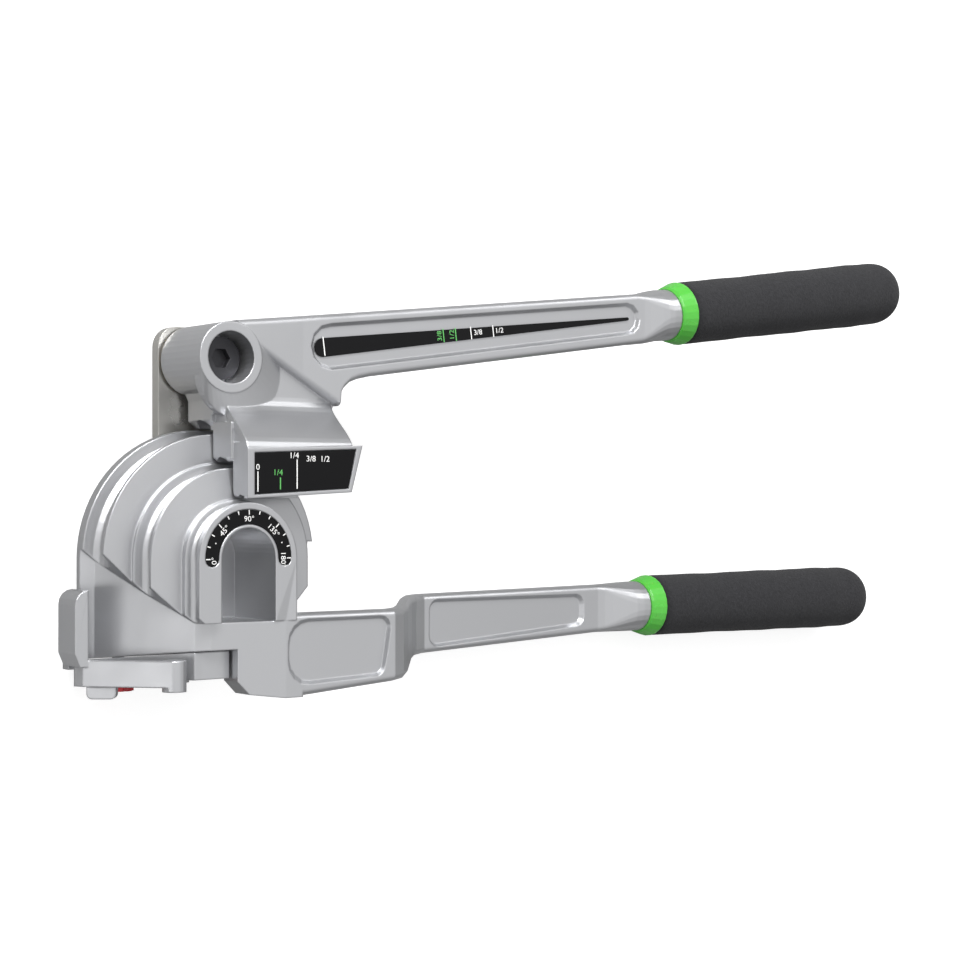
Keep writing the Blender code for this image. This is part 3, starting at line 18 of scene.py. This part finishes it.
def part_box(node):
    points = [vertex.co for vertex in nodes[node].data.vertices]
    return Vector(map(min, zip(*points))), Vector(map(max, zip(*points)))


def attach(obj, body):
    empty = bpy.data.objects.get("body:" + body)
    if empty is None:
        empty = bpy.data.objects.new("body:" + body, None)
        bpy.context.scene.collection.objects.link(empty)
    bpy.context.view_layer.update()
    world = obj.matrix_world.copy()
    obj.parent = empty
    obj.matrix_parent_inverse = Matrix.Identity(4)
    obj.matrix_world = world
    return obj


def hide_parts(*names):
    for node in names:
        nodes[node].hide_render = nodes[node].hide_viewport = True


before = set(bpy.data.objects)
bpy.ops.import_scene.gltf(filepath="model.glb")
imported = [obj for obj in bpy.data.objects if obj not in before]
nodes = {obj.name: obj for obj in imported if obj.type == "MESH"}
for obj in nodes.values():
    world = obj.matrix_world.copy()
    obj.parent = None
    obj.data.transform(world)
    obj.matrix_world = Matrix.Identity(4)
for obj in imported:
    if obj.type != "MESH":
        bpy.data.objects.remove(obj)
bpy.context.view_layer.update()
print("loaded", len(nodes), "pieces")

# %% [markdown]
# ## Helpers
#
# A material here is one Principled shader. Small functions add nodes and join sockets, so that each
# material below reads as a short list of what it is made of.

# %% Small helpers


def add_node(tree, kind, **settings):
    """Adds a node and sets its properties."""
    node = tree.nodes.new(kind)
    for name, value in settings.items():
        setattr(node, name, value)
    return node


def principled(name, colour, roughness, metallic=0.0, **inputs):
    """A material whose constant values sit on the shader's own sockets."""
    made = bpy.data.materials.new(name)
    made.use_nodes = True
    shader = made.node_tree.nodes["Principled BSDF"]
    shader.inputs["Base Color"].default_value = (*colour, 1)
    shader.inputs["Roughness"].default_value = roughness
    shader.inputs["Metallic"].default_value = metallic
    for socket, value in inputs.items():
        shader.inputs[socket.replace("_", " ")].default_value = value
    return made, made.node_tree, shader


def new_group(name, inputs, outputs):
    """An empty node group with float inputs (name: default) and outputs (name: socket type)."""
    group = bpy.data.node_groups.new(name, "ShaderNodeTree")
    for label, default in inputs.items():
        socket = group.interface.new_socket(label, in_out="INPUT", socket_type="NodeSocketFloat")
        socket.default_value = default
    for label, kind in outputs.items():
        group.interface.new_socket(label, in_out="OUTPUT", socket_type=kind)
    return group, group.nodes.new("NodeGroupInput"), group.nodes.new("NodeGroupOutput")


def use_group(tree, group, **values):
    node = add_node(tree, "ShaderNodeGroup", node_tree=group)
    for label, value in values.items():
        node.inputs[label].default_value = value
    return node


def paint(piece, material):
    piece.data.materials.clear()
    piece.data.materials.append(material)


def in_scene(obj):
    bpy.context.scene.collection.objects.link(obj)
    return obj


# %% [markdown]
# ## Surface effects that several materials share
#
# Castings have no truly sharp edges. `rounded_edges` bends the shading normal near each edge as if it
# were rounded, then adds a fine grain on top. `patches` gives a slow light and dark variation, the way
# real surfaces are never one even tone.

# %% Shared node groups


def rounded_edges_group():
    group, given, made = new_group(
        "rounded_edges",
        {"Radius": 0.0006, "Grain Scale": 900.0, "Grain Strength": 0.1},
        {"Normal": "NodeSocketVector"},
    )
    links = group.links
    place = add_node(group, "ShaderNodeTexCoord")
    bevel = add_node(group, "ShaderNodeBevel", samples=6)
    noise = add_node(group, "ShaderNodeTexNoise")
    noise.inputs["Detail"].default_value = 3
    bump = add_node(group, "ShaderNodeBump")
    bump.inputs["Distance"].default_value = 0.0002
    links.new(given.outputs["Radius"], bevel.inputs["Radius"])
    links.new(place.outputs["Object"], noise.inputs["Vector"])
    links.new(given.outputs["Grain Scale"], noise.inputs["Scale"])
    links.new(given.outputs["Grain Strength"], bump.inputs["Strength"])
    links.new(noise.outputs["Fac"], bump.inputs["Height"])
    links.new(bevel.outputs["Normal"], bump.inputs["Normal"])
    links.new(bump.outputs["Normal"], made.inputs["Normal"])
    return group


def patches_group():
    group, given, made = new_group(
        "patches",
        {"Scale": 30.0, "Low": 0.9, "High": 1.1},
        {"Value": "NodeSocketFloat"},
    )
    links = group.links
    place = add_node(group, "ShaderNodeTexCoord")
    noise = add_node(group, "ShaderNodeTexNoise")
    noise.inputs["Detail"].default_value = 4
    spread = add_node(group, "ShaderNodeMapRange")
    spread.inputs["From Min"].default_value = 0.3
    spread.inputs["From Max"].default_value = 0.7
    links.new(place.outputs["Object"], noise.inputs["Vector"])
    links.new(given.outputs["Scale"], noise.inputs["Scale"])
    links.new(noise.outputs["Fac"], spread.inputs["Value"])
    links.new(given.outputs["Low"], spread.inputs["To Min"])
    links.new(given.outputs["High"], spread.inputs["To Max"])
    links.new(spread.outputs["Result"], made.inputs["Value"])
    return group


rounded_edges = rounded_edges_group()
patches = patches_group()
print("made the groups", rounded_edges.name, "and", patches.name)


def textured(name, colour, roughness, metallic, edge, grain_scale, grain, spread, **inputs):
    """A material with rounded edges and grain in its normal, and patchy roughness."""
    made, tree, shader = principled(name, colour, roughness, metallic, **inputs)
    edges = use_group(
        tree, rounded_edges, **{"Radius": edge, "Grain Scale": grain_scale, "Grain Strength": grain}
    )
    tree.links.new(edges.outputs["Normal"], shader.inputs["Normal"])
    tone = use_group(
        tree, patches,
        **{"Scale": 45.0, "Low": roughness * (1 - spread), "High": roughness * (1 + spread)},
    )
    tree.links.new(tone.outputs["Value"], shader.inputs["Roughness"])
    return made


# %% [markdown]
# ## Metals
#
# The castings are painted silver: bright, but soft, with a blurred sheen rather than a mirror's.
# The link is bare plate, a little warmer. The pivot bolts are plated or blackened.

# %% Paint the metal pieces
silver = textured("silver_paint", (0.50, 0.505, 0.52), 0.34, 0.88, 0.0010, 1400.0, 0.07, 0.12)
link_steel = textured("link_steel", (0.56, 0.55, 0.52), 0.30, 0.9, 0.0004, 2600.0, 0.05, 0.20)
plated = textured("plated_steel", (0.60, 0.60, 0.60), 0.28, 1.0, 0.0003, 1800.0, 0.04, 0.15)
blackened = textured("black_steel", (0.045, 0.045, 0.05), 0.38, 0.6, 0.0004, 1800.0, 0.06, 0.15)
bronze = textured("bronze", (0.55, 0.38, 0.18), 0.40, 1.0, 0.0002, 1800.0, 0.05, 0.15)

for name in ("die_casting", "lever_casting", "hook"):
    paint(nodes[name], silver)
paint(nodes["link_plate"], link_steel)
for name in (
    "die_pivot_bolt", "lever_pivot_nut", "lever_bolt_washer",
    "hook_lock_screw", "hook_guide_screw", "lock_washer", "guide_washer",
):
    paint(nodes[name], plated)
paint(nodes["lever_pivot_bolt"], blackened)
for name in ("die_pivot_bush", "lever_pivot_bush", "die_thrust_washer", "lever_thrust_washer"):
    paint(nodes[name], bronze)
print("painted the metal pieces")

# %% [markdown]
# ## Plastics
#
# The two collars are bright green and the hook's lock knob is red, both glossy mouldings. Light goes a
# little way into such plastic, so the green is given a touch of subsurface scattering that keeps it
# from looking like paint; the red has none.

# %% Paint the plastic pieces
green = textured(
    "green_plastic", (0.075, 0.42, 0.045), 0.28, 0.0, 0.0005, 1500.0, 0.03, 0.15,
    Subsurface_Weight=0.1, Subsurface_Scale=0.002,
)
red = textured("red_plastic", (0.42, 0.012, 0.02), 0.30, 0.0, 0.0004, 1500.0, 0.03, 0.15)
for name in ("lower_collar", "upper_collar"):
    paint(nodes[name], green)
paint(nodes["hook_lock_knob"], red)
print("painted the plastic pieces")

# %% [markdown]
# ## Printed scales
#
# The three black labels are thin films. Their marks are separate slivers of white or green ink, which
# lie on the film. Each mark is placed from the label's own shape, so the ticks stay on the arch.

# %% The films and the inks
film = textured(
    "label_film", (0.003, 0.003, 0.0035), 0.55, 0.0, 0.0002, 1800.0, 0.03, 0.15,
    Specular_IOR_Level=0.15,
)
white_ink = textured("white_ink", (0.80, 0.80, 0.79), 0.50, 0.0, 0.0001, 1800.0, 0.03, 0.10)
green_ink = textured("green_ink", (0.10, 0.42, 0.10), 0.50, 0.0, 0.0001, 1800.0, 0.03, 0.10)
for name in ("degree_scale", "plate_scale", "arm_scale"):
    paint(nodes[name], film)

# How far the ink stands off its film, and how wide a tick is
INK = 0.00006
TICK_WIDTH = 0.0005
dial_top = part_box("degree_scale")[1].z
plate_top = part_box("plate_scale")[1].z


def ink_boxes(name, bars, base, ink):
    """One mesh of thin bars. A bar is (x, y, angle, length, width), its length along its angle."""
    bm = bmesh.new()
    for x, y, angle, length, width in bars:
        along = Vector((math.cos(angle), math.sin(angle), 0)) * length / 2
        across = Vector((-math.sin(angle), math.cos(angle), 0)) * width / 2
        centre = Vector((x, y, base))
        low = [bm.verts.new(centre + a * along + b * across) for a, b in
               ((-1, -1), (1, -1), (1, 1), (-1, 1))]
        top = [bm.verts.new(v.co + Vector((0, 0, INK))) for v in low]
        bm.faces.new(low[::-1])
        bm.faces.new(top)
        for i in range(4):
            j = (i + 1) % 4
            bm.faces.new((low[i], low[j], top[j], top[i]))
    mesh = bpy.data.meshes.new(name)
    bm.to_mesh(mesh)
    bm.free()
    obj = in_scene(bpy.data.objects.new(name, mesh))
    paint(obj, ink)
    return obj


def ink_text(name, words, place, size, angle, ink, squeeze=1.1):
    """Figures lying on a film, centred on a place."""
    curve = bpy.data.curves.new(name, "FONT")
    curve.body = words
    curve.size = size
    curve.align_x = "CENTER"
    curve.align_y = "CENTER"
    curve.extrude = INK / 2
    curve.resolution_u = 3
    obj = in_scene(bpy.data.objects.new(name, curve))
    obj.location = place
    obj.rotation_euler = (0, 0, angle)
    obj.scale = (squeeze, 1, 1)
    paint(obj, ink)
    return obj


# %% The degree scale round the die
DIAL_OUTER = 0.0205
DIAL_TICK_WIDTH = 0.00042
LONG_TICK = 0.0021
SHORT_TICK = 0.0015
DOT_RADIUS = 0.0172
DOT_WIDTH = 0.0005
DIAL_FIGURE_RADIUS = 0.01655
DIAL_FIGURE_SIZE = 0.0033
END_FIGURE_DROP = 0.0006
tick_bars = []
for step in range(13):
    turn = math.radians(180 - 15 * step)
    length = LONG_TICK if step % 3 == 0 else SHORT_TICK
    middle = DIAL_OUTER - length / 2
    tick_bars.append(
        (middle * math.cos(turn), middle * math.sin(turn), turn, length, DIAL_TICK_WIDTH)
    )
for dot in (22.5, 157.5):
    turn = math.radians(dot)
    tick_bars.append(
        (DOT_RADIUS * math.cos(turn), DOT_RADIUS * math.sin(turn), turn, DOT_WIDTH, DOT_WIDTH)
    )
dial_marks = ink_boxes("dial_marks", tick_bars, dial_top, white_ink)
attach(dial_marks, "die")

for degrees in (0, 45, 90, 135, 180):
    turn = math.radians(180 - degrees)
    drop = END_FIGURE_DROP if degrees in (0, 180) else 0
    x = DIAL_FIGURE_RADIUS * math.cos(turn)
    y = DIAL_FIGURE_RADIUS * math.sin(turn) - drop
    figure = ink_text(
        f"dial_figure_{degrees}", f"{degrees}°", (x, y, dial_top + INK / 2),
        DIAL_FIGURE_SIZE, math.radians(90 - degrees), white_ink,
    )
    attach(figure, "die")
print("printed the degree scale")

# %% [markdown]
# The plate on the lever's shoe has three marks and their sizes. The strip along the lever's arm has
# marks for the larger tubes.

# %% The marks on the plate and on the arm
PLATE_FIGURE_SIZE = 0.0035
STRIP_FIGURE_SIZE = 0.0034
plate_low, plate_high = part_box("plate_scale")
plate_white = ink_boxes(
    "plate_marks_white",
    [
        (plate_low.x + 0.0012, plate_low.y + 0.0052, math.pi / 2, 0.0085, TICK_WIDTH),
        (plate_low.x + 0.0205, plate_low.y + 0.0085, math.pi / 2, 0.0125, TICK_WIDTH),
    ],
    plate_top, white_ink,
)
plate_green = ink_boxes(
    "plate_marks_green",
    [(plate_low.x + 0.0122, plate_low.y + 0.0045, math.pi / 2, 0.0050, TICK_WIDTH)],
    plate_top, green_ink,
)
# Each figure has its name, its text, its place from the plate's lower left corner, and its ink
plate_figures = [
    ink_text(
        name, words, (plate_low.x + x, plate_low.y + y, plate_top + INK / 2),
        PLATE_FIGURE_SIZE, 0, ink,
    )
    for name, words, x, y, ink in (
        ("plate_zero", "0", 0.0012, 0.0112, white_ink),
        ("plate_quarter", "1/4", 0.0190, 0.0163, white_ink),
        ("plate_quarter_green", "1/4", 0.0110, 0.0090, green_ink),
        ("plate_larger", "3/8  1/2", 0.0310, 0.0150, white_ink),
    )
]
for obj in [plate_white, plate_green, *plate_figures]:
    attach(obj, "lever")

strip = nodes["arm_scale"]
strip_points = [strip.matrix_world @ vertex.co for vertex in strip.data.vertices]
strip_normal = max((face.normal for face in strip.data.polygons), key=lambda way: way.z)
strip_lean = math.atan2(-strip_normal.x, strip_normal.z)


def strip_end(side):
    """The middle of the strip's upper face at its left (-1) or right (1) end."""
    reach = max(side * point.x for point in strip_points)
    return max((p for p in strip_points if side * p.x > reach - 0.0001), key=lambda p: p.z)


strip_left, strip_right = strip_end(-1), strip_end(1)
strip_rise = math.atan2(strip_right.y - strip_left.y, strip_right.x - strip_left.x)


def on_strip(x):
    """The point on the middle of the strip's upper face at a given x."""
    run = x - strip_left.x
    return strip_left + run * Vector((1, math.tan(strip_rise), math.tan(strip_lean)))


def lie_on_strip(obj, x, turn=0):
    """Moves a piece drawn at the origin to x on the strip, turned and leaning as the strip does."""
    obj.location = on_strip(x)
    lean = Matrix.Rotation(-strip_lean, 3, "Y")
    obj.rotation_euler = (lean @ Matrix.Rotation(strip_rise + turn, 3, "Z")).to_euler()
    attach(obj, "lever")
    return obj


for name, x, ink, length in (
    ("strip_start", 0.0470, white_ink, 0.0084),
    ("strip_green_near", 0.1087, green_ink, 0.0062),
    ("strip_green_far", 0.1153, green_ink, 0.0060),
    ("strip_white_near", 0.1236, white_ink, 0.0058),
    ("strip_white_far", 0.1358, white_ink, 0.0054),
):
    mark = ink_boxes(name, [(0, 0, math.pi / 2, length, TICK_WIDTH)], 0, ink)
    lie_on_strip(mark, x)
for name, words, x, ink, turn in (
    ("strip_three_eighths_green", "3/8", 0.1066, green_ink, math.pi / 2),
    ("strip_half_green", "1/2", 0.1133, green_ink, math.pi / 2),
    ("strip_three_eighths", "3/8", 0.1274, white_ink, 0),
    ("strip_half", "1/2", 0.1392, white_ink, 0),
):
    figure = ink_text(name, words, (0, 0, 0), STRIP_FIGURE_SIZE, 0, ink)
    lie_on_strip(figure, x, turn)
print("printed the plate and the strip")

# %% [markdown]
# ## Foam grips
#
# The grips are slipped on as soft sleeves, so their sides are never quite straight. Each is turned
# about the handle, then given a fine skin of bubbles that breaks up the light at its edge.

# %% Foam
FOAM_LIP = 0.0012
FOAM_LIP_DROP = 0.0007
FOAM_DOME = 0.013
FOAM_RADIUS_SHARE = 0.99
FOAM_OPEN_END_SHARE = 0.93
FOAM_TIP_SHARE = 0.30
FOAM_LONG_WAVE = 0.00012
FOAM_SHORT_WAVE = 0.00008
LEVER_SLOPE = math.radians(7.7)
foam, foam_tree, foam_shader = principled("black_foam", (0.018, 0.018, 0.020), 0.9)
foam_place = add_node(foam_tree, "ShaderNodeTexCoord")
foam_cells = add_node(foam_tree, "ShaderNodeTexVoronoi")
foam_cells.inputs["Scale"].default_value = 1600
foam_noise = add_node(foam_tree, "ShaderNodeTexNoise")
foam_noise.inputs["Scale"].default_value = 700
foam_noise.inputs["Detail"].default_value = 5
foam_mix = add_node(foam_tree, "ShaderNodeMath", operation="ADD")
foam_bump = add_node(foam_tree, "ShaderNodeBump")
foam_bump.inputs["Strength"].default_value = 0.55
foam_bump.inputs["Distance"].default_value = 0.0004
foam_tone = add_node(foam_tree, "ShaderNodeMapRange")
foam_tone.inputs["To Min"].default_value = 0.35
foam_tone.inputs["To Max"].default_value = 1.9
foam_colour = add_node(foam_tree, "ShaderNodeMix", data_type="RGBA", blend_type="MULTIPLY")
foam_colour.inputs["Factor"].default_value = 1
foam_colour.inputs["A"].default_value = (0.016, 0.016, 0.018, 1)
foam_shader.inputs["Specular IOR Level"].default_value = 0.25
foam_shader.inputs["Sheen Weight"].default_value = 0.06
foam_shader.inputs["Sheen Roughness"].default_value = 0.6
foam_links = foam_tree.links
for texture in (foam_cells, foam_noise):
    foam_links.new(foam_place.outputs["Object"], texture.inputs["Vector"])
foam_links.new(foam_cells.outputs["Distance"], foam_mix.inputs[0])
foam_links.new(foam_noise.outputs["Fac"], foam_mix.inputs[1])
foam_links.new(foam_mix.outputs["Value"], foam_bump.inputs["Height"])
foam_links.new(foam_noise.outputs["Fac"], foam_tone.inputs["Value"])
foam_links.new(foam_tone.outputs["Result"], foam_colour.inputs["B"])
foam_links.new(foam_colour.outputs["Result"], foam_shader.inputs["Base Color"])
foam_links.new(foam_bump.outputs["Normal"], foam_shader.inputs["Normal"])


def foam_grip(name, node, body, slope):
    """A sleeve round the grip's axis, from its open end to its domed end.

    Both grips are the same, so the length and radius come from the lower one, which lies along X.
    """
    low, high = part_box(node)
    bm = bmesh.new()
    steps, rings = 72, 90
    straight_low, straight_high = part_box("lower_grip")
    length = straight_high.x - straight_low.x
    far = FOAM_RADIUS_SHARE * (straight_high.z - straight_low.z) / 2
    near = FOAM_OPEN_END_SHARE * far
    along = Vector((math.cos(slope), math.sin(slope), 0))
    start = (low + high) / 2 - along * length / 2
    side = Vector((-math.sin(slope), math.cos(slope), 0))
    rise = Vector((0, 0, 1))
    grid = []
    for i in range(rings + 1):
        share = i / rings
        reach = length * (1 - (1 - share) ** 1.4)
        radius = near + (far - near) * min(1, share * 1.6)
        radius += FOAM_LONG_WAVE * math.sin(share * 21) + FOAM_SHORT_WAVE * math.sin(share * 47 + 1)
        if reach < FOAM_LIP:
            radius -= FOAM_LIP_DROP * (1 - math.sqrt(1 - (1 - reach / FOAM_LIP) ** 2))
        over = reach - (length - FOAM_DOME)
        if over > 0:
            rim = math.sqrt(max(0, 1 - (over / FOAM_DOME) ** 2.4))
            radius *= FOAM_TIP_SHARE + (1 - FOAM_TIP_SHARE) * rim
        grid.append(
            [
                bm.verts.new(
                    start + along * reach
                    + side * radius * math.cos(2 * math.pi * j / steps)
                    + rise * radius * math.sin(2 * math.pi * j / steps)
                )
                for j in range(steps)
            ]
        )
    for a, b in zip(grid, grid[1:]):
        for j in range(steps):
            k = (j + 1) % steps
            bm.faces.new((a[j], a[k], b[k], b[j]))
    bm.faces.new(grid[0])
    bm.faces.new(grid[-1])
    bmesh.ops.recalc_face_normals(bm, faces=bm.faces)
    mesh = bpy.data.meshes.new(name)
    bm.to_mesh(mesh)
    bm.free()
    mesh.shade_smooth()
    obj = in_scene(bpy.data.objects.new(name, mesh))
    paint(obj, foam)
    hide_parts(node)
    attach(obj, body)
    return obj


foam_grip("lower_foam", "lower_grip", "die", 0.0)
foam_grip("upper_foam", "upper_grip", "lever", LEVER_SLOPE)
print("made the foam grips")

# %% [markdown]
# ## The bench and the light
#
# The bench is a plain white sheet with a faint shadow. It looks white to the camera, but the metal sees
# it as grey, as in a studio where only the backdrop behind the object is lit. A large soft lamp stands
# above, and weaker ones stand at the left and at the right. The sky is brighter overhead than at its
# rim.

# %% Bench, lamps and sky
bpy.ops.mesh.primitive_plane_add(size=12)
floor = bpy.context.object
floor.name = "bench_sheet"
floor.location.z = -0.0001
bench, bench_tree, bench_shader = principled(
    "bench_white", (0.9, 0.9, 0.9), 0.9, Emission_Color=(1, 1, 1, 1)
)
bench_path = add_node(bench_tree, "ShaderNodeLightPath")
bench_tone = add_node(bench_tree, "ShaderNodeMapRange")
bench_tone.inputs["To Min"].default_value = 0.32
bench_tone.inputs["To Max"].default_value = 0.50
bench_glow = add_node(bench_tree, "ShaderNodeMapRange")
bench_glow.inputs["To Max"].default_value = 0.72
bench_tree.links.new(bench_path.outputs["Is Camera Ray"], bench_tone.inputs["Value"])
bench_tree.links.new(bench_path.outputs["Is Camera Ray"], bench_glow.inputs["Value"])
bench_tree.links.new(bench_tone.outputs["Result"], bench_shader.inputs["Base Color"])
bench_tree.links.new(bench_glow.outputs["Result"], bench_shader.inputs["Emission Strength"])
paint(floor, bench)


def soft_lamp(name, place, target, size, power):
    data = bpy.data.lights.new(name, "AREA")
    data.shape = "RECTANGLE"
    data.size, data.size_y = size
    data.energy = power
    lamp = in_scene(bpy.data.objects.new(name, data))
    lamp.location = place
    lamp.rotation_euler = (Vector(target) - Vector(place)).to_track_quat("-Z", "Y").to_euler()
    return lamp


# Each lamp has its place, what it points at, its size and its power in watts
middle = (0.12, 0.04, 0.03)
soft_lamp("key", (-0.35, 1.10, 1.00), middle, (1.2, 0.5), 30)
soft_lamp("side", (-1.30, -0.25, 0.60), middle, (0.4, 0.8), 1.5)
soft_lamp("right", (1.08, 1.03, 0.83), middle, (0.7, 0.5), 3.5)

world = bpy.data.worlds.new("pale_sky")
bpy.context.scene.world = world
world.use_nodes = True
sky_tree = world.node_tree
sky_place = add_node(sky_tree, "ShaderNodeTexCoord")
sky_parts = add_node(sky_tree, "ShaderNodeSeparateXYZ")
sky_tone = add_node(sky_tree, "ShaderNodeMapRange", interpolation_type="SMOOTHSTEP")
sky_tone.inputs["To Min"].default_value = 0.20
sky_tone.inputs["To Max"].default_value = 0.90
sky_tree.links.new(sky_place.outputs["Generated"], sky_parts.inputs["Vector"])
sky_tree.links.new(sky_parts.outputs["Z"], sky_tone.inputs["Value"])
sky_tree.links.new(sky_tone.outputs["Result"], sky_tree.nodes["Background"].inputs["Color"])
print("lit the bench")

# %% [markdown]
# ## Camera
#
# The camera looks down from the upper left, straight across the die, so that the handles run away to
# the right. Its upward direction is the tool's own +Y.

# %% Camera
LENS = 71.25
SENSOR_WIDTH = 36
UPWARD_SHIFT = 20 / 960
EYE = (-0.4086, 0.0245, 0.7450)
BACKWARD = (-0.612, 0, 0.791)
camera_data = bpy.data.cameras.new("camera")
camera_data.lens = LENS
camera_data.sensor_width = SENSOR_WIDTH
camera_data.shift_y = UPWARD_SHIFT
camera = in_scene(bpy.data.objects.new("camera", camera_data))
eye = Vector(EYE)
back = Vector(BACKWARD).normalized()
up_way = Vector((0, 1, 0))
right = up_way.cross(back)
turned = Matrix((right, up_way, back)).transposed().to_4x4()
camera.matrix_world = Matrix.Translation(eye) @ turned
camera_data.clip_start = 0.01
camera_data.clip_end = 20
bpy.context.scene.camera = camera
bpy.context.scene.view_settings.view_transform = "Standard"
print("set the camera", camera_data.lens, "mm")
